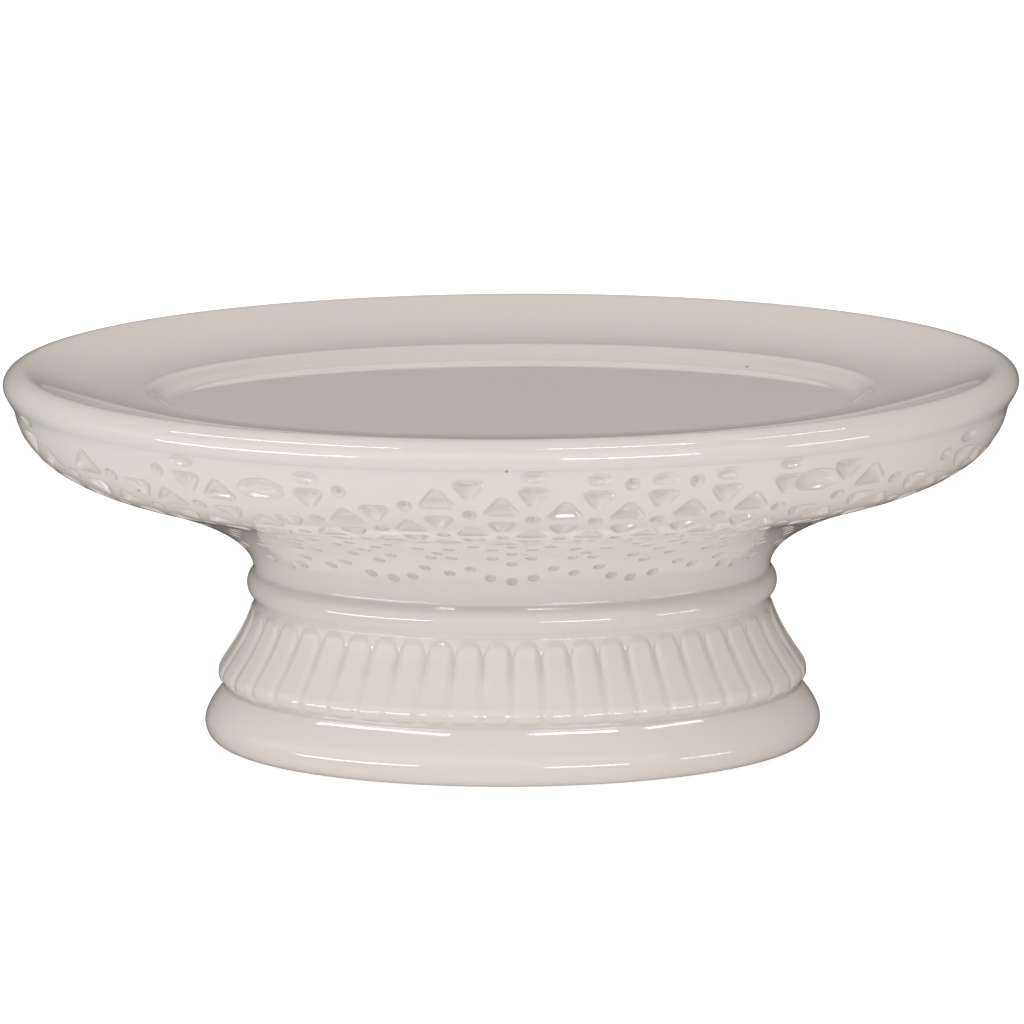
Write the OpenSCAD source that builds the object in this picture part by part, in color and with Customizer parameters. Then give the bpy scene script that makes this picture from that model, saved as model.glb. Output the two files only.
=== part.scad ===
// Oval pedestal cake stand in glazed ceramic: a dished plate with a rolled lip, a lace bowl
// under it that draws in to a narrow neck, and a hollow fluted foot with a bead round its top.
// The three castings key into each other and are joined by two rings of fired slip.
// Frame: +Z up, +X along the long axis, origin at the centre of the ring that it stands on.

/* [Plate] */
// Overall width across the lip, along X
plate_w = 356; // [352:1:366]
// Depth of every oval as a share of its width
oval_ratio = 0.64; // [0.6:0.01:0.7]
// Height of the under side of the lip above the table
rim_z = 126.2; // [122:0.1:134]
// Radius of the rolled lip
lip_r = 5.8; // [5.2:0.1:6.3]
// Width of the flange from the lip's outer edge to the well
flange_w = 51; // [46:1:56]
// Height of the flange's inner edge above the under side of the lip
flange_rise = 1.1; // [0.6:0.1:1.6]
// Depth of the well below the flange
well_depth = 4.2; // [3.4:0.1:4.6]
// Thickness of the plate under the well
plate_t = 5.8; // [5:0.1:7]

/* [Bowl] */
// Half-width of the neck, where the bowl meets the foot
neck_a = 90.9; // [88:0.1:92]
// Height of the neck joint
neck_z = 63.2; // [62:0.1:65]
// Half-width of the bowl at its rim, under the lip
bowl_a = 174.6; // [173:0.1:175]
// Wall thickness of the castings
wall_t = 6; // [5:0.1:7]

/* [Foot] */
// Half-width of the foot ring at its widest
foot_a = 108.4; // [106:0.1:112]
// Height of the crease between the flutes and the foot ring
crease_z = 21.4; // [20:0.1:23]
// Half-width at that crease
crease_a = 100.8; // [99:0.1:103]
// Height of the crease under the bead
bead_z = 52.9; // [51:0.1:54]
// How far the bead stands out past the neck
bead_out = 1.6; // [1:0.1:2.4]
// Number of flutes round the skirt
flute_n = 48; // [36:4:56]
// Width of a groove between two flutes
groove_w = 1.8; // [1:0.1:2.5]
// Depth of a groove
groove_d = 1.3; // [0.8:0.1:1.6]

/* [Joints] */
// Thickness of each ring of fired slip
seam_t = 1.2; // [0.8:0.1:1.5]
// How far a seam stays inside the glazed surface, which draws the crease
seam_in = 0.5; // [0.3:0.1:0.8]
// Depth of the spigot that keys the bowl into the foot
spigot_h = 8; // [6:0.5:9]
// Depth of the ring that keys the plate into the bowl
key_h = 6.5; // [5:0.5:8]
// Gap round a spigot, left for the slip
key_gap = 0.4; // [0.2:0.1:0.6]

/* [Hidden] */
$fn = 96;

glaze_white = [0.93, 0.92, 0.9];
slip_white = [0.86, 0.84, 0.81];

plate_a = plate_w / 2;
// Inner faces keep a ratio of their own, so that the wall stays even all round
inner_ratio = (oval_ratio * 120 - wall_t) / (120 - wall_t);
well_a = plate_a - flange_w;
well_b = plate_a * oval_ratio - flange_w + 3;
// Angle below the horizontal at which the lip's arc starts, and the flange's height at the well
lip_from = 38;
flange_z = rim_z + flange_rise;
floor_z = flange_z - well_depth;
well_corner = 12;
well_wall = 9.4;
rim_top = rim_z - seam_t;
rim_in_a = bowl_a - wall_t;
key_wall = 5;
foot_top = neck_z - seam_t;
socket_a = neck_a - wall_t + 1.2;
socket_z = neck_z - spigot_h - 0.6;
spigot_a = socket_a - key_gap;
spigot_wall = 4.4;
base_out_a = foot_a - 9.6;
base_in_a = foot_a - 16;

// A point on a cubic curve, and the unit normal on its left-hand side
function curve_at(p, u) =
    pow(1 - u, 3) * p[0] + 3 * u * pow(1 - u, 2) * p[1]
    + 3 * u * u * (1 - u) * p[2] + pow(u, 3) * p[3];
function slope_at(p, u) =
    3 * pow(1 - u, 2) * (p[1] - p[0]) + 6 * u * (1 - u) * (p[2] - p[1])
    + 3 * u * u * (p[3] - p[2]);
function left_of(v) = [-v[1], v[0]] / norm(v);
function curve(p, n, off = 0, from = 0) = [
    for (i = [0 : n])
        let (u = from + (1 - from) * i / n)
        curve_at(p, u) + off * left_of(slope_at(p, u))
];
// Points on an arc about c
function arc(c, r, a0, a1, n) = [
    for (i = [0 : n])
        let (a = a0 + (a1 - a0) * i / n)
        c + r * [cos(a), sin(a)]
];

// Sections are drawn as half-width against height. The bowl: a concave neck, then a full belly.
belly = [neck_a + 51.2, neck_z + 31.1];
belly_dir = [0.962, 0.274];
neck_curve = [
    [neck_a, neck_z],
    [neck_a, neck_z + 12.8],
    belly - 27.8 * belly_dir,
    belly
];
belly_curve = [
    belly,
    belly + 19.1 * belly_dir,
    [bowl_a - 0.6, rim_top - 16.5],
    [bowl_a, rim_top]
];
// The foot ring, from the table up to the crease
foot_low = [
    [base_out_a, 0],
    [foot_a - 3, 0],
    [foot_a, 3.7],
    [foot_a, 8.2]
];
foot_high = [
    [foot_a, 8.2],
    [foot_a, 13.6],
    [crease_a + 2, crease_z - 4],
    [crease_a, crease_z]
];
// The flutes end in a rounded heel above the crease, and flare down to it from the bead
heel_r = 5.2;
heel = [crease_a - 2.4, crease_z + 4.3];
heel_from = -62;
heel_to = 34;
skirt = [
    heel + heel_r * [cos(heel_to), sin(heel_to)],
    heel + [1, 8],
    [neck_a + 1.1, bead_z - 8.6],
    [neck_a + 0.4, bead_z]
];
// The bead is an arc that passes through the creases above and below it
bead_half = (foot_top - bead_z) / 2;
bead_r = (bead_half * bead_half + bead_out * bead_out) / (2 * bead_out);
bead_angle = asin(bead_half / bead_r);
bead_c = [neck_a + bead_out - bead_r, bead_z + bead_half];

// An oval solid: a section turned about Z in four quarters, and narrowed along Y
module oval(points, ratio) {
    for (quarter = [0 : 90 : 270])
        scale([1, ratio, 1])
            rotate(quarter)
                rotate_extrude(angle = 90)
                    polygon(points);
}

// A straight-sided oval disc between two heights
module oval_disc(a, ratio, z0, z1) {
    translate([0, 0, z0])
        linear_extrude(z1 - z0)
            scale([1, ratio])
                circle(a);
}

// The dished top: rolled lip, sloping flange, oval well, and a key ring that drops into the bowl
module plate() {
    lip_c = [plate_a - lip_r, rim_z + lip_r * sin(lip_from)];
    lip_end = lip_c + lip_r * [cos(108), sin(108)];
    color(glaze_white)
        union() {
            difference() {
                oval(concat(
                    [[0, floor_z - plate_t], [well_a - 12, floor_z - plate_t]],
                    [[rim_in_a - 8, rim_z]],
                    arc(lip_c, lip_r, -lip_from, 96, 8),
                    curve([lip_end, lip_end - [9, 3], [well_a + 16, flange_z], [well_a, flange_z]], 5),
                    [[0, flange_z]]
                ), oval_ratio);
                oval(concat(
                    [[0, floor_z]],
                    arc([well_a - well_wall, floor_z + well_corner], well_corner, -90, -30, 5),
                    [[well_a + 2, rim_z + 12], [0, rim_z + 12]]
                ), well_b / well_a);
            }
            difference() {
                oval_disc(rim_in_a - key_gap, inner_ratio, rim_z - key_h, rim_z + 0.5);
                oval_disc(rim_in_a - key_wall, inner_ratio, rim_z - key_h - 1, rim_z + 1);
            }
        }
}

// The shell under the plate, open right through, with a spigot at its lower end
module lace_bowl() {
    color(glaze_white)
        difference() {
            union() {
                oval(concat(
                    [[0, neck_z]],
                    curve(neck_curve, 8),
                    curve(belly_curve, 8),
                    [[0, rim_top]]
                ), oval_ratio);
                oval_disc(spigot_a, inner_ratio, neck_z - spigot_h, neck_z + 1);
            }
            oval(concat(
                [[0, neck_z - spigot_h - 1], [spigot_a - spigot_wall, neck_z - spigot_h - 1]],
                [[spigot_a - spigot_wall, neck_z + 3]],
                curve(neck_curve, 5, wall_t, 0.35),
                curve(belly_curve, 7, wall_t, 0.08),
                [[rim_in_a, rim_top + 1], [0, rim_top + 1]]
            ), inner_ratio);
        }
}

// Steps round the oval's edge, so that the flutes are equally spaced along it
turn_steps = 360;
function edge_step(i) =
    let (t = (i + 0.5) * 360 / turn_steps)
    norm([sin(t), oval_ratio * cos(t)]);
function running(i = 0, sum = 0) =
    i == turn_steps ? [[sum, i]] : concat([[sum, i]], running(i + 1, sum + edge_step(i)));
edge_table = running();
edge_total = edge_table[turn_steps][0];

// One slot for each gap between two flutes: a flat plate that lies in the skin of the skirt
module grooves() {
    outside = concat(
        [[crease_a + 20, crease_z + 1.6], heel + (heel_r - groove_d) * [cos(-30), sin(-30)]],
        [heel + (heel_r - groove_d) * [cos(heel_to), sin(heel_to)]],
        curve(skirt, 4, groove_d, 0.25),
        [[crease_a + 20, bead_z]]
    );
    for (i = [0 : flute_n - 1]) {
        turn = lookup(i / flute_n * edge_total, edge_table) * 360 / turn_steps;
        reach = [cos(turn), oval_ratio * sin(turn)];
        rotate(atan2(reach[1], reach[0]))
            rotate([90, 0, 0])
                translate([0, 0, -groove_w / 2])
                    linear_extrude(groove_w)
                        polygon([for (p = outside) [p[0] * norm(reach), p[1]]]);
    }
}

// The hollow foot: foot ring, fluted skirt, and the bead with the bowl's socket inside it
module fluted_foot() {
    color(glaze_white)
        difference() {
            oval(concat(
                [[0, 0]],
                curve(foot_low, 5),
                curve(foot_high, 5, 0, 0.2),
                arc(heel, heel_r, heel_from, heel_to, 5),
                curve(skirt, 5, 0, 0.2),
                arc(bead_c, bead_r, -bead_angle, bead_angle, 6),
                [[0, foot_top]]
            ), oval_ratio);
            oval([
                [0, -1],
                [base_in_a + 0.4, -1],
                [base_in_a - 1, 5],
                [crease_a - wall_t - 4, crease_z + 6],
                [neck_a - wall_t, bead_z - 12],
                [neck_a - wall_t, socket_z],
                [socket_a, socket_z],
                [socket_a, foot_top + 1],
                [0, foot_top + 1]
            ], inner_ratio);
            grooves();
        }
}

// A ring of slip between two castings
module slip_ring(a_out, a_in, z0, z1) {
    color(slip_white)
        difference() {
            oval_disc(a_out, oval_ratio, z0, z1);
            oval_disc(a_in, inner_ratio, z0 - 1, z1 + 1);
        }
}

// Between the plate and the bowl, in the crease under the lip
module rim_seam() {
    slip_ring(bowl_a - seam_in, rim_in_a, rim_top, rim_z);
}

// Between the bowl and the foot, in the crease above the bead
module neck_seam() {
    slip_ring(neck_a - seam_in, socket_a, foot_top, neck_z);
}

plate();
lace_bowl();
fluted_foot();
rim_seam();
neck_seam();
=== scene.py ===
import math

import bpy
import numpy as np
from mathutils import Matrix, Vector


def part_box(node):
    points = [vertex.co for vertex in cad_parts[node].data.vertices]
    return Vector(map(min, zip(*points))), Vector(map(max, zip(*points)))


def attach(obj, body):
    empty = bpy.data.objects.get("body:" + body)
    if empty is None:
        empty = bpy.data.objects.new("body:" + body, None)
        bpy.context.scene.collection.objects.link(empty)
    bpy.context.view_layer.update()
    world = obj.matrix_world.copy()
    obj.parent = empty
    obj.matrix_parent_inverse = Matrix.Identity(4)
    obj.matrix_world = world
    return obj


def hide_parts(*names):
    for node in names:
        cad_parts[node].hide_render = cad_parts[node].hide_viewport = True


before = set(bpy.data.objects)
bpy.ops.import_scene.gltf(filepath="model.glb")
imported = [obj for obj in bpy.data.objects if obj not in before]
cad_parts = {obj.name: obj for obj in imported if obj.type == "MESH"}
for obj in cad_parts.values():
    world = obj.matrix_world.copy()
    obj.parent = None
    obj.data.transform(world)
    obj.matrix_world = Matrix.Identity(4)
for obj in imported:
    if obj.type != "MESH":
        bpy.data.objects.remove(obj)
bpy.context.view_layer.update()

# An oval pedestal cake stand in glazed ceramic: a dished plate with a rolled lip, a bowl pressed with
# lace under it, and a fluted foot, joined by two rings of slip. Lengths are in mm until a mesh is made.
# An oval has a half-width a along X and a half-depth b along Y.
MM = 0.001
TAU = 2 * math.pi

# ---------------------------------------------------------------- sizes, from the frame
plate_low, plate_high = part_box("plate")
bowl_low, bowl_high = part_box("lace_bowl")
foot_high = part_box("fluted_foot")[1]
rim_seam_low, rim_seam_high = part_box("rim_seam")
neck_seam_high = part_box("neck_seam")[1]

PLATE_A = plate_high.x / MM
PLATE_B = plate_high.y / MM
RATIO = PLATE_B / PLATE_A
TOP_Z = plate_high.z / MM
KEY_Z = plate_low.z / MM
RIM_Z = rim_seam_high.z / MM
RIM_TOP = rim_seam_low.z / MM
BOWL_A = bowl_high.x / MM
SPIGOT_Z = bowl_low.z / MM
FOOT_A = foot_high.x / MM
FOOT_TOP = foot_high.z / MM
NECK_Z = neck_seam_high.z / MM
SEAM_INSET = 0.5
NECK_A = neck_seam_high.x / MM + SEAM_INSET
WALL = 6.0


# ---------------------------------------------------------------- curves and ovals
CURVE_STEPS = 120
ARC_STEPS = 30


def cubic(p0, p1, p2, p3, n=CURVE_STEPS):
    """n + 1 points of a cubic curve."""
    u = np.linspace(0, 1, n + 1)[:, None]
    p0, p1, p2, p3 = (np.array(p, float) for p in (p0, p1, p2, p3))
    return (1 - u) ** 3 * p0 + 3 * u * (1 - u) ** 2 * p1 + 3 * u * u * (1 - u) * p2 + u ** 3 * p3


def arc(centre, radius, start, end):
    """Points of an arc, angles in degrees."""
    t = np.radians(np.linspace(start, end, ARC_STEPS + 1))
    return np.stack([centre[0] + radius * np.cos(t), centre[1] + radius * np.sin(t)], 1)


def join(*pieces):
    """One line of points from several, without the doubled ones."""
    points = np.vstack(pieces)
    keep = np.r_[True, np.hypot(*np.diff(points, axis=0).T) > 1e-6]
    return points[keep]


def run_along(points):
    """The distance along a line to each of its points."""
    return np.r_[0, np.cumsum(np.hypot(*np.diff(points, axis=0).T))]


def at_distance(points, at):
    """The points of a line at given distances along it."""
    run = run_along(points)
    return np.stack([np.interp(at, run, points[:, i]) for i in (0, 1)], 1)


def even(points, step):
    """The same line with points at equal steps along it, about step apart."""
    length = run_along(points)[-1]
    n = max(2, int(round(length / step)))
    return at_distance(points, np.linspace(0, length, n + 1))


def inward(points):
    """Unit normals on the left of a line."""
    d = np.gradient(points, axis=0)
    d /= np.linalg.norm(d, axis=1)[:, None]
    return np.stack([-d[:, 1], d[:, 0]], 1)


def edge_of_oval(steps=7200):
    """Angles round an oval with a half-width of 1, and the distance along its edge to each."""
    angle = np.linspace(0, TAU, steps + 1)
    return angle, run_along(np.stack([np.cos(angle), RATIO * np.sin(angle)], 1))


EDGE_PER_A = float(edge_of_oval()[1][-1])


def turns(n):
    """Angles of n points, equally spaced along an oval's edge, and each one's share of the way round."""
    angle, run = edge_of_oval()
    share = np.arange(n) / n
    return np.interp(share * run[-1], run, angle), share


def grid_object(name, points, closed_loop):
    """A mesh from points[row, column, xyz]. Columns always wrap round. Rows wrap if closed_loop, and
    otherwise the first and last rows each close to a point on the axis."""
    rows, cols, _ = points.shape
    verts = points.reshape(-1, 3) * MM
    r = np.arange(rows if closed_loop else rows - 1)
    c = np.arange(cols)
    r0, c0 = np.meshgrid(r, c, indexing="ij")
    r1 = (r0 + 1) % rows
    c1 = (c0 + 1) % cols
    quads = np.stack([r0 * cols + c0, r0 * cols + c1, r1 * cols + c1, r1 * cols + c0], -1)
    loops = quads.ravel()
    starts = np.arange(len(loops) // 4) * 4
    if not closed_loop:
        ends = []
        for row in (0, rows - 1):
            verts = np.vstack([verts, points[row].mean(0, keepdims=True) * MM])
            this = row * cols + c
            following = row * cols + (c + 1) % cols
            tip = np.full(cols, len(verts) - 1)
            ends.append(np.stack([following, this, tip] if row == 0 else [this, following, tip], 1))
        tris = np.vstack(ends)
        starts = np.r_[starts, len(loops) + np.arange(len(tris)) * 3]
        loops = np.r_[loops, tris.ravel()]
    mesh = bpy.data.meshes.new(name)
    mesh.vertices.add(len(verts))
    mesh.vertices.foreach_set("co", verts.astype(np.float32).ravel())
    mesh.loops.add(len(loops))
    mesh.loops.foreach_set("vertex_index", loops.astype(np.int32))
    mesh.polygons.add(len(starts))
    mesh.polygons.foreach_set("loop_start", starts.astype(np.int32))
    mesh.update(calc_edges=True)
    mesh.validate()
    mesh.shade_smooth()
    obj = bpy.data.objects.new(name, mesh)
    bpy.context.scene.collection.objects.link(obj)
    return obj


def oval_rows(a, b, z, angle):
    """Points of ovals with half-sizes a[row] and b[row] at heights z[row]."""
    return np.stack([
        a[:, None] * np.cos(angle)[None],
        b[:, None] * np.sin(angle)[None],
        np.repeat(z[:, None], len(angle), 1)], -1)


def outward_normals(points):
    """Unit normals of an oval surface whose columns wrap round, pointing away from the axis."""
    along = np.roll(points, -1, 1) - np.roll(points, 1, 1)
    normal = np.cross(along, np.gradient(points, axis=0))
    normal /= np.maximum(np.linalg.norm(normal, axis=2, keepdims=True), 1e-12)
    return normal if (normal[..., :2] * points[..., :2]).sum() > 0 else -normal


# ---------------------------------------------------------------- the outline
# The outside from the table up to the widest part of the lip, as half-width against height
CREASE_Z = 21.4
CREASE_A = 100.8
RING_Z = 8.2
RING_LOW = ((FOOT_A - 9.6, 0), (FOOT_A - 3, 0), (FOOT_A, 3.7), (FOOT_A, RING_Z))
RING_HIGH = ((FOOT_A, RING_Z), (FOOT_A, 12), (CREASE_A + 3.4, CREASE_Z - 3), (CREASE_A, CREASE_Z))
# The flutes end in a rounded heel above the crease
HEEL = np.array([CREASE_A - 2.4, CREASE_Z + 4.3])
HEEL_R = 5.2
HEEL_ARC = (-62, 34)
# The bead's roll runs up almost to the top of the neck joint
BEAD_Z = 52.9
BEAD_TOP = NECK_Z - 0.2
BEAD_OUT = 2.3
SKIRT_HANDLES = (HEEL + (1, 8), (NECK_A + 1.1, BEAD_Z - 8.6))
SKIRT_TOP = (NECK_A + 0.3, BEAD_Z)
# The bowl: a concave neck, then a full belly
BELLY = np.array([NECK_A + 51.2, NECK_Z + 31.1])
BELLY_DIR = np.array([0.962, 0.274])
NECK_CURVE = ((NECK_A, NECK_Z), (NECK_A, NECK_Z + 12.8), BELLY - 27.8 * BELLY_DIR, BELLY)
BELLY_CURVE = (BELLY, BELLY + 19.1 * BELLY_DIR, (BOWL_A - 0.8, RIM_TOP - 16.5), (BOWL_A, RIM_TOP))
# The lip: how far its crest is above its widest part and in from it
LIP_HIGH = 5.8
LIP_IN = 7.0
LIP_Z = TOP_Z - LIP_HIGH
LIP_UNDER = 32


def round_corner(points, low, high, passes):
    """Softens the stretch of an outline between two heights."""
    points = points.copy()
    inside = np.where((points[:, 1] > low) & (points[:, 1] < high))[0]
    inside = inside[(inside > 0) & (inside < len(points) - 1)]
    for _ in range(passes):
        points[inside] = (points[inside - 1] + 2 * points[inside] + points[inside + 1]) / 4
    return points


def bead_arc():
    """The arc that passes through the creases under and over the bead."""
    half = (BEAD_TOP - BEAD_Z) / 2
    radius = (half * half + BEAD_OUT * BEAD_OUT) / (2 * BEAD_OUT)
    swing = math.degrees(math.asin(half / radius))
    return arc((NECK_A + BEAD_OUT - radius, BEAD_Z + half), radius, -swing, swing)


def make_outline():
    """The whole outside as one line. The glaze runs over both joints, so all pieces are cut from it."""
    heel = arc(HEEL, HEEL_R, *HEEL_ARC)
    skirt = cubic(heel[-1], *SKIRT_HANDLES, SKIRT_TOP)
    neck = cubic(*NECK_CURVE)
    neck = neck[neck[:, 1] > BEAD_TOP + 0.3]
    belly = cubic(*BELLY_CURVE)
    belly = belly[belly[:, 1] < RIM_TOP - 2.5]
    under_lip = arc((PLATE_A - LIP_HIGH, LIP_Z), LIP_HIGH, -LIP_UNDER, 0)
    line = join(cubic(*RING_LOW), cubic(*RING_HIGH), heel, skirt, bead_arc(), neck, belly, under_lip)
    line = even(line, 0.25)
    # Glaze softens the creases, and most of all the one under the lip
    for low, high, passes in (
            (CREASE_Z - 1.5, CREASE_Z + 1.5, 5),
            (BEAD_Z - 1.5, BEAD_Z + 1.5, 5),
            (BEAD_TOP - 0.7, BEAD_TOP + 3, 10),
            (RIM_TOP - 7, RIM_Z + 2, 50)):
        line = round_corner(line, low, high, passes)
    return line


OUTLINE = make_outline()
# Size of the small bevel at a cut, between a piece's outer face and its joint
CORNER = 0.06


def outer_depth(a):
    """Half-depth of the outside where its half-width is a."""
    return a * RATIO


def cut(low, high, step):
    """The part of the outline between two heights, with close rows at each cut so that it stays sharp."""
    first, last = np.interp([low, high], OUTLINE[:, 1], run_along(OUTLINE))
    n = max(2, int(round((last - first) / step)))
    at = np.linspace(first, last, n + 1)
    return at_distance(OUTLINE, np.r_[first, first + CORNER, at[1:-1], last - CORNER, last])


# ---------------------------------------------------------------- the plate
PLATE_COLUMNS = 720
# The flange is a little narrower at the front and back than at the ends
FLANGE_W = 51.0
WELL_A = PLATE_A - FLANGE_W
WELL_B = PLATE_B - FLANGE_W + 3
FLANGE_Z = RIM_Z + 1.1
FLOOR_Z = FLANGE_Z - 4.2
PLATE_UNDER_Z = FLOOR_Z - 5.8
# A short line on the axis, where the floor and the under side close
AXIS_A = 0.6
AXIS_B = 0.3
# How far the underside lies above the joint inside the key ring
KEY_RECESS = 2.2
JOINT_GAP = 0.5


def plate_top():
    """Rows of half-width, half-depth and height, from the joint over the lip to the axis. The flange
    changes from the lip's oval to the well's narrower one."""
    t = np.linspace(0, math.pi / 2, 40)
    over = np.stack([PLATE_A - LIP_IN * (1 - np.cos(t)), LIP_Z + LIP_HIGH * np.sin(t)], 1)
    lip = np.vstack([cut(RIM_Z, LIP_Z - 0.05, 0.5), even(over, 0.4)])
    rows = [np.stack([lip[:, 0], outer_depth(lip[:, 0]), lip[:, 1]], 1)]
    # Flange: a hollow curve from the crest down to the well, as distance in from the lip's edge
    flange = even(cubic(
        (LIP_IN, TOP_Z),
        (LIP_IN + 3.5, TOP_Z),
        (LIP_IN + 16, FLANGE_Z + 0.6),
        (FLANGE_W - 2.5, FLANGE_Z - 0.05)), 1.1)[1:]
    share = (flange[:, 0] - LIP_IN) / (FLANGE_W - LIP_IN)
    half_depth = outer_depth(PLATE_A - LIP_IN) * (1 - share) + WELL_B * share
    rows.append(np.stack([PLATE_A - flange[:, 0], half_depth, flange[:, 1]], 1))
    # Well: a rounded edge, then a sloping wall with a fillet on to the floor, as distance in
    edge_low = (2.4, FLANGE_Z - 1.7)
    well = even(join(
        cubic((-2.5, FLANGE_Z - 0.05), (-0.4, FLANGE_Z + 0.1), (1.0, FLANGE_Z - 0.4), edge_low, 12),
        cubic(edge_low, (4.6, FLOOR_Z + 0.5), (6.6, FLOOR_Z), (10.5, FLOOR_Z), 16)), 0.4)[1:]
    rows.append(np.stack([WELL_A - well[:, 0], WELL_B - well[:, 0], well[:, 1]], 1))
    # Floor: shrinks to the short line on the axis
    t = np.linspace(0, 1, 40)[1:, None] ** 0.9
    rows.append(rows[-1][-1] * (1 - t) + np.array([AXIS_A, AXIS_B, FLOOR_Z]) * t)
    return np.vstack(rows)


def plate_under():
    """The same for the under side, from the axis out to the key ring and the joint."""
    in_a = BOWL_A - WALL
    in_b = BOWL_A * RATIO - WALL
    key_a = in_a - JOINT_GAP
    key_b = in_b - JOINT_GAP
    recess_z = RIM_Z - KEY_RECESS
    lip_low = OUTLINE[np.argmin(np.abs(OUTLINE[:, 1] - RIM_Z)), 0]
    bends = np.array([
        (AXIS_A, AXIS_B, PLATE_UNDER_Z),
        (WELL_A - 30, WELL_B - 14, PLATE_UNDER_Z),
        (WELL_A - 12, WELL_B - 4, PLATE_UNDER_Z + 0.1),
        (WELL_A + 4, WELL_B + 8, PLATE_UNDER_Z + 3.3),
        (in_a - 8, in_b - 8, recess_z),
        (in_a - 5.6, in_b - 5.6, recess_z),
        (in_a - 5, in_b - 5, recess_z - 0.8),
        (in_a - 4.8, in_b - 4.8, KEY_Z + 0.6),
        (in_a - 4.2, in_b - 4.2, KEY_Z),
        (key_a - 1.2, key_b - 1.2, KEY_Z),
        (key_a, key_b, KEY_Z + 1),
        (key_a, key_b, RIM_Z - 0.3),
        (key_a + 0.3, key_b + 0.3, RIM_Z),
        (lip_low - CORNER, outer_depth(lip_low) - CORNER, RIM_Z),
    ])
    rows = [bends[:1]]
    for p, q in zip(bends[:-1], bends[1:]):
        steps = max(1, int(np.linalg.norm(q - p) / WALL))
        rows.append(p + (q - p) * np.linspace(0, 1, steps + 1)[1:, None])
    return np.vstack(rows)


def make_plate():
    """Rolled lip, flange, well and under side as one closed surface."""
    angle, _ = turns(PLATE_COLUMNS)
    return grid_object("plate_shell", oval_rows(*np.vstack([plate_under(), plate_top()]).T, angle), False)


# ---------------------------------------------------------------- the lace
# A mark has a place, its share of the way round, and a distance down from the rim along the surface.
# The upper part is a lattice of triangles and dots that hangs in three swags, with an oval medallion
# on each side of the front. The lower part is small dots in diamonds.
FRONT = 0.75
SWAGS = 3
SWAG_PLACE = FRONT + 0.0585
SWAG_SAG = 13.0
SWAG_BEND = 0.0015
# Half-width of the bowl halfway down the lattice, where the swags' bend is measured
LATTICE_A = 150
COLUMNS = 80
COLUMN_PERIOD = 35.0
LATTICE_END = 50.0
# Each mark's distance below the first in its column's period, and the nearest that it comes to the rim
LATTICE = (("down", 0.0, 7.5), ("dot", 11.0, 5.5), ("up", 23.0, 8.0))
# A flat pod fills the top row of a column whose first triangle is about this far down
POD_ROOM = (9.5, 16)
POD_RISE = 8.2
MEDALLIONS = ((FRONT + 0.121, 10.5), (FRONT - 0.098, 11.0))
MEDALLION_CLEAR = (0.011, 8)
DIAMONDS = 12
# Rows of one diamond of small dots: distance down, and places across it in 62nds of its width
DIAMOND_PARTS = 62.0
DIAMOND_ROWS = (
    (60.0, (-14.5, 0.0, 14.5)),
    (66.0, (-8.0, 8.0, 25.0, 37.0)),
    (73.0, (0.0, 31.0)),
    (79.5, (-8.5, 8.5, 26.5, 35.5)),
    (86.0, (0.0,)),
    (91.0, (20.0, 42.0)),
    (95.0, (31.0,)),
    (98.0, (11.0, -11.0)),
    (100.0, (0.0,)),
)
LACE_DEPTH = {"down": 2.7, "up": 2.9, "dot": 2.1, "seed": 2.1, "pod": 1.8, "medallion": 2.2}
# Half the largest mark's size, with room to spare
LACE_REACH = 10.0


def smooth(x):
    """0 to 1 with level ends."""
    x = np.clip(x, 0, 1)
    return x * x * (3 - 2 * x)


def scoop(t):
    """A bowl-shaped depth from 0 at a mark's edge to 1 at its middle, with a soft edge."""
    t = np.clip(t, 0, 1)
    t = 1.05 * t * t / (t + 0.05)
    return 1 - (1 - t) ** 2


def dot_depth(dx, dy, r):
    """A round dimple."""
    return scoop(1 - np.hypot(dx, dy) / r)


def triangle_depth(dx, dy, w, h, up):
    """A scooped triangle with round corners. up says which way it points."""
    y = dy if up else -dy
    round_r = 2.6
    half = w / 2 - round_r
    low = -h / 2 + round_r
    top = h / 2 - round_r
    # Distance outside the sloping sides, blunted at the tip, and outside the base
    side_len = math.hypot(half, top - low)
    nx, ny = (top - low) / side_len, half / side_len
    across = np.sqrt(dx * dx + 2.0) - 0.25
    side = nx * across + ny * (y - top)
    base = low - y
    outside = np.hypot(np.maximum(side, 0), np.maximum(base, 0))
    inside = np.minimum(np.maximum(side, base), 0)
    return scoop((round_r - outside - inside) / 3.1)


def oval_depth(dx, dy, w, h):
    """A broad oval scoop."""
    return scoop((1 - np.hypot(dx / (w / 2), dy / (h / 2))) * h / 5)


def mark_depth(kind, dx, dy, grow):
    """The shape of one mark, from 0 to 1. Lattice marks shrink with the bowl towards the neck."""
    if kind == "down":
        return triangle_depth(dx, dy, 8.4 * grow, 7.6, False)
    if kind == "up":
        return triangle_depth(dx, dy, 9.6 * grow, 8.4, True)
    if kind == "dot":
        return dot_depth(dx, dy, 2.2 * (0.4 + 0.6 * grow))
    if kind == "pod":
        return oval_depth(dx, dy, 9.2, 4.4)
    if kind == "medallion":
        return oval_depth(dx, dy, 17.0, 8.6)
    return dot_depth(dx, dy, 1.9)


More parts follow.
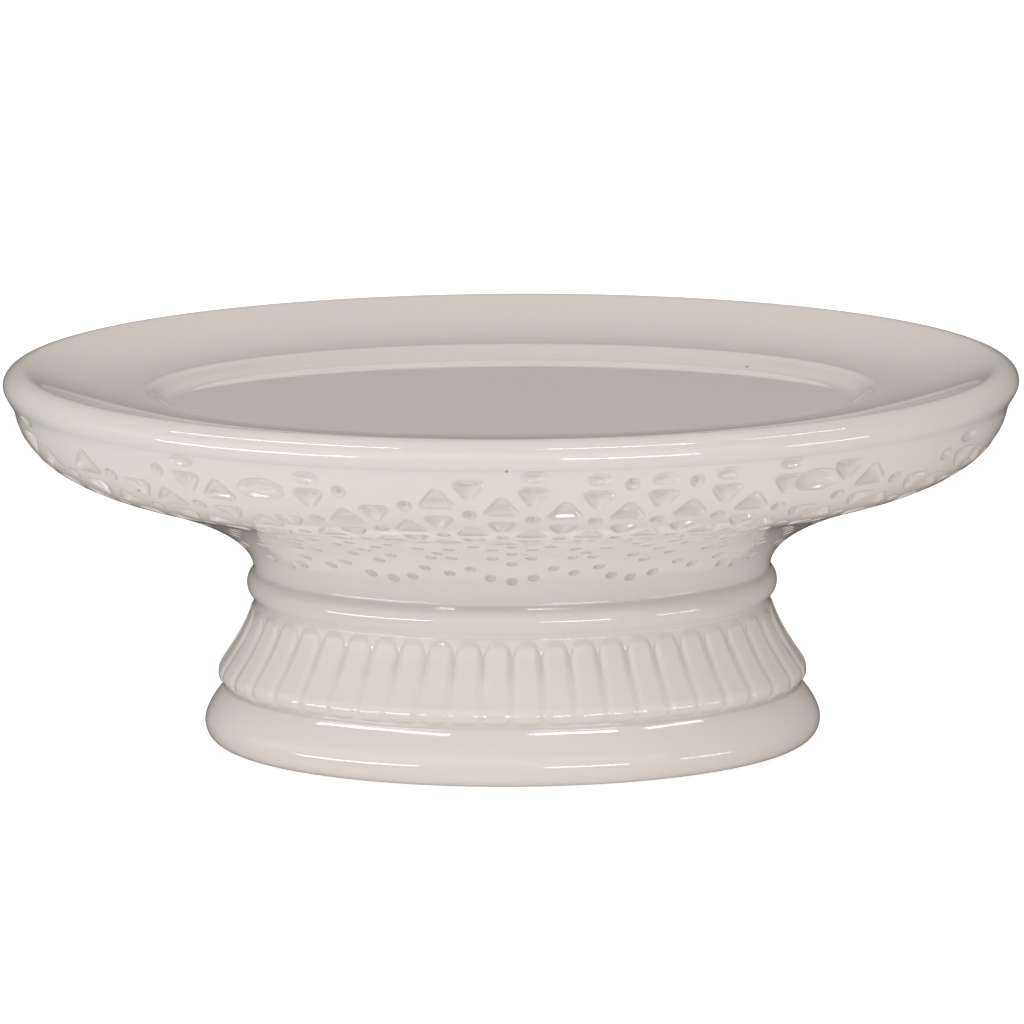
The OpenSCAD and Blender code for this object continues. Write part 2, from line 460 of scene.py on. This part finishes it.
def lattice_marks():
    """Triangles, dots and pods of the swags, as (place, distance down, kind)."""
    marks = []
    swag_width = EDGE_PER_A * LATTICE_A / SWAGS
    for column in range(COLUMNS):
        place = column / COLUMNS + SWAG_PLACE
        across = ((column / COLUMNS * SWAGS + 0.5) % 1 - 0.5) * swag_width
        first = SWAG_SAG - SWAG_BEND * across * across
        first += COLUMN_PERIOD / 2 if column % 2 else 0
        for cycle in range(-1, 4):
            base = first + cycle * COLUMN_PERIOD
            for kind, drop, nearest in LATTICE:
                if nearest < base + drop < LATTICE_END:
                    marks.append((place, base + drop, kind))
            if POD_ROOM[0] < base < POD_ROOM[1]:
                marks.append((place, base - POD_RISE, "pod"))
    return marks


def lace_marks():
    """Every mark of the lace."""
    marks = lattice_marks()
    for place, y in MEDALLIONS:
        marks = [
            mark for mark in marks
            if abs(mark[0] % 1 - place % 1) > MEDALLION_CLEAR[0] or abs(mark[1] - y) > MEDALLION_CLEAR[1]]
        marks.append((place, y, "medallion"))
    for diamond in range(DIAMONDS):
        centre = FRONT + diamond / DIAMONDS
        for y, offsets in DIAMOND_ROWS:
            for x in offsets:
                marks.append((centre + x / (DIAMONDS * DIAMOND_PARTS), y, "seed"))
    return marks


def lace_depth(run, a, share):
    """Depth of the lace over a grid: rows at distance run from the rim, where the oval has
    half-width a, and columns at share round the edge."""
    depth = np.zeros((len(run), len(share)))
    width = EDGE_PER_A * a
    for place, y, kind in lace_marks():
        rows = np.where(np.abs(run - y) < LACE_REACH)[0]
        off = (share - place + 0.5) % 1 - 0.5
        local_a = np.interp(y, run, a)
        cols = np.where(np.abs(off) * EDGE_PER_A * local_a < LACE_REACH)[0]
        dx = off[cols][None] * width[rows][:, None]
        dy = (y - run[rows])[:, None] + 0 * dx
        shape = mark_depth(kind, dx, dy, local_a / 172.0)
        patch = np.ix_(rows, cols)
        depth[patch] = np.maximum(depth[patch], shape * LACE_DEPTH[kind])
    return depth


# ---------------------------------------------------------------- the bowl
BOWL_COLUMNS = 1800
SPIGOT_A = NECK_A - WALL + 0.8


def inner_depth(a):
    """Half-depth of an inner face where its half-width is a, for a wall that is even all round."""
    return (a + WALL) * RATIO - WALL


def make_bowl():
    """The shell with the lace pressed into it, and a spigot at its lower end."""
    outside = cut(NECK_Z, RIM_TOP, 0.42)[::-1]
    angle, share = turns(BOWL_COLUMNS)
    outer = oval_rows(outside[:, 0], outer_depth(outside[:, 0]), outside[:, 1], angle)
    depth = lace_depth(run_along(outside), outside[:, 0], share)
    outer = outer - outward_normals(outer) * depth[..., None]
    # Spigot and inner face, from the neck round and back up to the rim
    spigot = np.array([
        (outside[-1, 0] - CORNER, NECK_Z),
        (SPIGOT_A + 0.2, NECK_Z),
        (SPIGOT_A, NECK_Z - 0.3),
        (SPIGOT_A, SPIGOT_Z + 0.8),
        (SPIGOT_A - 0.8, SPIGOT_Z),
        (SPIGOT_A - 3.6, SPIGOT_Z),
        (SPIGOT_A - 4.3, SPIGOT_Z + 0.8),
        (SPIGOT_A - 4.4, NECK_Z + 2)])
    inside = even(cut(NECK_Z, RIM_TOP, 1.0), 4.0)
    inside = inside + WALL * inward(inside)
    inside = inside[(inside[:, 0] > SPIGOT_A - 3.5) & (inside[:, 1] < RIM_TOP - 1)]
    rim = np.array([(BOWL_A - WALL, RIM_TOP - 0.6), (BOWL_A - WALL + 0.6, RIM_TOP)])
    rest = np.vstack([
        np.stack([spigot[:, 0], spigot[:, 0] + NECK_A * (RATIO - 1), spigot[:, 1]], 1),
        np.stack([inside[:, 0], inner_depth(inside[:, 0]), inside[:, 1]], 1),
        np.stack([rim[:, 0], rim[:, 0] + BOWL_A * (RATIO - 1), rim[:, 1]], 1),
        [(outside[0, 0] - CORNER, outer_depth(outside[0, 0]) - CORNER, RIM_TOP)]])
    return grid_object("lace_bowl_shell", np.concatenate([outer, oval_rows(*rest.T, angle)]), True)


# ---------------------------------------------------------------- the foot
FLUTES = 48
FLUTE_COLUMNS = 28
GROOVE = 1.15
SOCKET_A = NECK_A - WALL + 1.2
SOCKET_Z = NECK_Z - 8.6


def flute_depth(z, share):
    """Depth of the grooves over the foot's grid: rows at heights z and columns at share round."""
    # v runs from 0 in the middle of a flute to 1 in the groove
    v = np.abs((share * FLUTES) % 1 - 0.5) * 2
    valley = smooth((v - 0.52) / 0.48)
    # A flute's two ends are arched, and the skirt stays sunk a little past them
    low_end = CREASE_Z + 0.4 + 1.0 * v ** 2
    high_end = BEAD_Z - 2.2 - 3.2 * v ** 3
    length = smooth((z[:, None] - low_end[None]) / 1.8) * smooth((high_end[None] - z[:, None]) / 2.4)
    deep = 0.4 + 0.6 * smooth((z - CREASE_Z - 12) / 10)
    sink = GROOVE * (valley[None] * deep[:, None] * length + 0.5 * (1 - length))
    fade = smooth((z - CREASE_Z + 0.3) / 1.4) * smooth((BEAD_Z + 0.2 - z) / 2.0)
    return sink * fade[:, None]


def make_foot():
    """Foot ring, fluted skirt and bead outside, and a hollow inside."""
    ring = cut(0.0, CREASE_Z, 0.9)[:-2]
    skirt = cut(CREASE_Z, BEAD_Z, 0.5)[2:-2]
    bead = cut(BEAD_Z, FOOT_TOP, 0.5)[2:]
    outside = np.vstack([ring, skirt, bead])
    angle, share = turns(FLUTES * FLUTE_COLUMNS)
    outer = oval_rows(outside[:, 0], outer_depth(outside[:, 0]), outside[:, 1], angle)
    outer = outer - outward_normals(outer) * flute_depth(outside[:, 1], share)[..., None]
    # Hollow inside, from the top down to the standing ring
    hollow_a = NECK_A - WALL
    inside = even(np.array([
        (SOCKET_A + 0.7, FOOT_TOP),
        (SOCKET_A, FOOT_TOP - 0.7),
        (SOCKET_A, SOCKET_Z),
        (hollow_a, SOCKET_Z),
        (hollow_a, BEAD_Z - 10),
        (hollow_a + 0.6, BEAD_Z - 16),
        (hollow_a + 2.2, BEAD_Z - 22),
        (CREASE_A - WALL - 3.4, CREASE_Z + 7),
        (CREASE_A - WALL - 1.6, CREASE_Z),
        (FOOT_A - 17.0, 8),
        (FOOT_A - 17.2, 3),
        (FOOT_A - 16.6, 0.7),
        (FOOT_A - 15.6, 0),
        (FOOT_A - 10.5, 0)]), 3.5)
    half_depth = inner_depth(inside[:, 0])
    # The last rows lie in the standing ring, beside the outer face
    half_depth[-3:] = outer_depth(inside[-3:, 0])
    inner = np.vstack([
        [(outside[-1, 0] - CORNER, outer_depth(outside[-1, 0]) - CORNER, FOOT_TOP)],
        np.stack([inside[:, 0], half_depth, inside[:, 1]], 1)])
    return grid_object("fluted_foot_shell", np.concatenate([outer, oval_rows(*inner.T, angle)]), True)


# ---------------------------------------------------------------- the seams
SEAM_COLUMNS = 720


def make_seam(name, low, high, thick):
    """A ring of slip between two castings, its outer face on the shared outline."""
    face = cut(low, high, 0.2)
    rows = [(a, outer_depth(a), z) for a, z in face]
    for a, z, insets in ((face[-1, 0], high, (CORNER, thick)), (face[0, 0], low, (thick, CORNER))):
        rows += [(a - inset, outer_depth(a) - inset, z) for inset in insets]
    angle, _ = turns(SEAM_COLUMNS)
    return grid_object(name, oval_rows(*np.array(rows).T, angle), True)


# ---------------------------------------------------------------- materials
def colour_mix(tree, factor, first, second):
    """A mix of a colour or colour socket with another colour, by a factor socket."""
    node = tree.nodes.new("ShaderNodeMix")
    node.data_type = "RGBA"
    tree.links.new(factor, node.inputs["Factor"])
    if isinstance(first, tuple):
        node.inputs["A"].default_value = (*first, 1)
    else:
        tree.links.new(first, node.inputs["A"])
    node.inputs["B"].default_value = (*second, 1)
    return node.outputs["Result"]


def noise(tree, place, scale, detail):
    """A noise over the object, as a socket."""
    node = tree.nodes.new("ShaderNodeTexNoise")
    node.inputs["Scale"].default_value = scale
    node.inputs["Detail"].default_value = detail
    tree.links.new(place, node.inputs["Vector"])
    return node.outputs["Fac"]


def remap(tree, value, source, target):
    """A value moved from one range to another, as a socket."""
    node = tree.nodes.new("ShaderNodeMapRange")
    for side, limit in zip(("From Min", "From Max", "To Min", "To Max"), source + target):
        node.inputs[side].default_value = limit
    tree.links.new(value, node.inputs["Value"])
    return node.outputs["Result"]


def below(tree, value, limit):
    """1 where a value is under a limit, and 0 elsewhere, as a socket."""
    node = tree.nodes.new("ShaderNodeMath")
    node.operation = "LESS_THAN"
    node.inputs[1].default_value = limit
    tree.links.new(value, node.inputs[0])
    return node.outputs["Value"]


def glaze(name, base, thin, pooled_glaze_and_shade):
    """Glossy white glaze that varies between two whites and is darker in hollows, as painted shade there
    and as glaze that pools, with a faint ripple and a few pinholes. The ring that it stands on is bare
    biscuit."""
    mat = bpy.data.materials.new(name)
    mat.use_nodes = True
    tree = mat.node_tree
    shader = tree.nodes["Principled BSDF"]
    shader.inputs["IOR"].default_value = 1.5
    shader.inputs["Subsurface Weight"].default_value = 0.06
    shader.inputs["Subsurface Scale"].default_value = 0.004
    shader.inputs["Coat Weight"].default_value = 0.35
    shader.inputs["Coat Roughness"].default_value = 0.04
    place = tree.nodes.new("ShaderNodeTexCoord").outputs["Object"]
    cloud = noise(tree, place, 9.0, 3.0)

    # Pointiness tells hollows from edges, and the hollows get painted shade
    shape = tree.nodes.new("ShaderNodeNewGeometry")
    hollow = remap(tree, shape.outputs["Pointiness"], (0.43, 0.495), (1.0, 0.0))
    pinholes = tree.nodes.new("ShaderNodeTexVoronoi")
    pinholes.inputs["Scale"].default_value = 28.0
    tree.links.new(place, pinholes.inputs["Vector"])
    in_pinhole = below(tree, pinholes.outputs["Distance"], 0.016)
    apart = tree.nodes.new("ShaderNodeSeparateXYZ")
    tree.links.new(place, apart.inputs["Vector"])
    dry = below(tree, apart.outputs["Z"], 0.0007)

    colour = colour_mix(tree, cloud, base, thin)
    # Painted shade: the colour goes darker in hollows, where shade falls, and also stands for glaze that
    # pools there
    colour = colour_mix(tree, hollow, colour, pooled_glaze_and_shade)
    colour = colour_mix(tree, in_pinhole, colour, (0.42, 0.36, 0.32))
    colour = colour_mix(tree, dry, colour, (0.72, 0.67, 0.6))
    tree.links.new(colour, shader.inputs["Base Color"])

    matte = tree.nodes.new("ShaderNodeMix")
    tree.links.new(dry, matte.inputs["Factor"])
    tree.links.new(remap(tree, cloud, (0.0, 1.0), (0.05, 0.09)), matte.inputs["A"])
    matte.inputs["B"].default_value = 0.75
    tree.links.new(matte.outputs["Result"], shader.inputs["Roughness"])

    bump = tree.nodes.new("ShaderNodeBump")
    bump.inputs["Strength"].default_value = 0.08
    bump.inputs["Distance"].default_value = 0.0006
    tree.links.new(noise(tree, place, 55.0, 2.0), bump.inputs["Height"])
    tree.links.new(bump.outputs["Normal"], shader.inputs["Normal"])
    return mat


# The last colour of each glaze is the painted shade in hollows, also standing for glaze pooled there
white_glaze = glaze("white_glaze", (0.77, 0.725, 0.68), (0.79, 0.75, 0.71), (0.52, 0.465, 0.42))
slip_glaze = glaze("slip_glaze", (0.75, 0.705, 0.66), (0.77, 0.73, 0.69), (0.68, 0.63, 0.585))

for piece, node, slot, mat in (
        (make_plate(), "plate", "white_glaze", white_glaze),
        (make_bowl(), "lace_bowl", "white_glaze", white_glaze),
        (make_foot(), "fluted_foot", "white_glaze", white_glaze),
        (make_seam("rim_slip", RIM_TOP, RIM_Z, WALL - 0.5), "rim_seam", "fired_slip", slip_glaze),
        (make_seam("neck_slip", FOOT_TOP, NECK_Z, WALL - 1.5), "neck_seam", "fired_slip", slip_glaze)):
    piece.data.materials.append(mat)
    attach(piece, "root")
    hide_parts(node)


# ---------------------------------------------------------------- floor and light
STAND_MIDDLE = Vector((0, 0, 0.08))
LIGHT_AWAY = 1.6
SKY = 0.29
FLOOR_HALF = 6.0
FLOOR_GLOW = 0.8
BOUNCE_GLOW = 0.18
# Strip lights: name, turn, width, radiance and tint
STRIPS = (
    ("left", -43.5, 39, 15.0, (0.97, 1, 1)),
    ("right", 18.5, 21, 15.0, (1, 0.97, 0.95)),
    ("far_right", 55, 19, 10.0, (1, 0.97, 0.95)),
)


def make_floor(name, height, base, glow):
    """A wide plain sheet. Glossy rays pass it, because the strips below it stand for their own
    mirror images in a polished table."""
    mesh = bpy.data.meshes.new(name)
    corners = [(x * FLOOR_HALF, y * FLOOR_HALF, height) for x, y in ((-1, -1), (1, -1), (1, 1), (-1, 1))]
    mesh.from_pydata(corners, [], [(0, 1, 2, 3)])
    obj = bpy.data.objects.new(name, mesh)
    bpy.context.scene.collection.objects.link(obj)
    mat = bpy.data.materials.new(name)
    mat.use_nodes = True
    shader = mat.node_tree.nodes["Principled BSDF"]
    shader.inputs["Base Color"].default_value = (base, base, base, 1)
    shader.inputs["Roughness"].default_value = 0.9
    shader.inputs["Specular IOR Level"].default_value = 0.0
    shader.inputs["Emission Color"].default_value = (1, 1, 1, 1)
    shader.inputs["Emission Strength"].default_value = glow
    mesh.materials.append(mat)
    obj.visible_glossy = False
    obj.visible_shadow = False
    return obj


def soft_box(name, turn, rise, wide, high, radiance, tint=(1, 1, 1)):
    """A light on a sphere round the stand. turn is its angle from the front towards the right, rise its
    angle above the table, wide and high the angles that it fills, all in degrees."""
    turn, rise = math.radians(turn), math.radians(rise)
    level = math.cos(rise) * LIGHT_AWAY
    place = Vector((math.sin(turn) * level, -math.cos(turn) * level, math.sin(rise) * LIGHT_AWAY))
    light = bpy.data.lights.new(name, "AREA")
    light.shape = "RECTANGLE"
    light.size = 2 * LIGHT_AWAY * math.tan(math.radians(wide / 2))
    light.size_y = 2 * LIGHT_AWAY * math.tan(math.radians(high / 2))
    light.energy = radiance * math.pi * light.size * light.size_y
    light.color = tint
    obj = bpy.data.objects.new(name, light)
    obj.location = place + STAND_MIDDLE
    obj.rotation_euler = (-place).to_track_quat("-Z", "Y").to_euler()
    obj.visible_camera = False
    bpy.context.scene.collection.objects.link(obj)
    return obj


# The floor that is seen is white, and the light that it throws up comes from a dimmer sheet under it
make_floor("floor", 0, 0.5, FLOOR_GLOW).visible_diffuse = False
make_floor("bounce", -0.0005, 0.75, BOUNCE_GLOW).visible_camera = False
world = bpy.data.worlds.new("studio")
world.use_nodes = True
world.node_tree.nodes["Background"].inputs["Color"].default_value = (1, 0.965, 0.945, 1)
world.node_tree.nodes["Background"].inputs["Strength"].default_value = SKY
world.cycles_visibility.glossy = False
bpy.context.scene.world = world
for side, turn, wide, radiance, tint in STRIPS:
    soft_box("strip_" + side, turn, 40, wide, 2.8, radiance, tint)
    soft_box("mirror_" + side, turn, -16, wide, 3.0, radiance * 0.75, tint)
soft_box("front_panel", -24, 0, 130, 30, 0.60, (0.97, 1, 1))
soft_box("top_panel", 0, 72, 60, 50, 0.6, (1, 0.95, 0.92))
soft_box("back_panel", 180, 50, 90, 30, 1.7).visible_glossy = False

# ---------------------------------------------------------------- camera
# It is far off with a long lens, a little above the plate
CAMERA_AWAY = 24
CAMERA_RISE = math.radians(14.15)
CAMERA_ROLL = math.radians(-0.29)
SENSOR = 36
# The share of the picture's width that half of the plate fills
HALF_PLATE_SHARE = 0.4949
aim = Vector((0.0007, 0, 0.463)) * PLATE_A * MM
back = Vector((0, -math.cos(CAMERA_RISE), math.sin(CAMERA_RISE)))
camera = bpy.data.objects.new("camera", bpy.data.cameras.new("camera"))
bpy.context.scene.collection.objects.link(camera)
camera.data.sensor_width = SENSOR
camera.data.lens = SENSOR * HALF_PLATE_SHARE * CAMERA_AWAY
camera.data.clip_end = 50
camera.location = aim + back * CAMERA_AWAY * PLATE_A * MM
look = (-back).to_track_quat("-Z", "Y").to_matrix().to_4x4()
camera.rotation_euler = (look @ Matrix.Rotation(CAMERA_ROLL, 4, "Z")).to_euler()
bpy.context.scene.camera = camera
bpy.context.scene.view_settings.view_transform = "Standard"
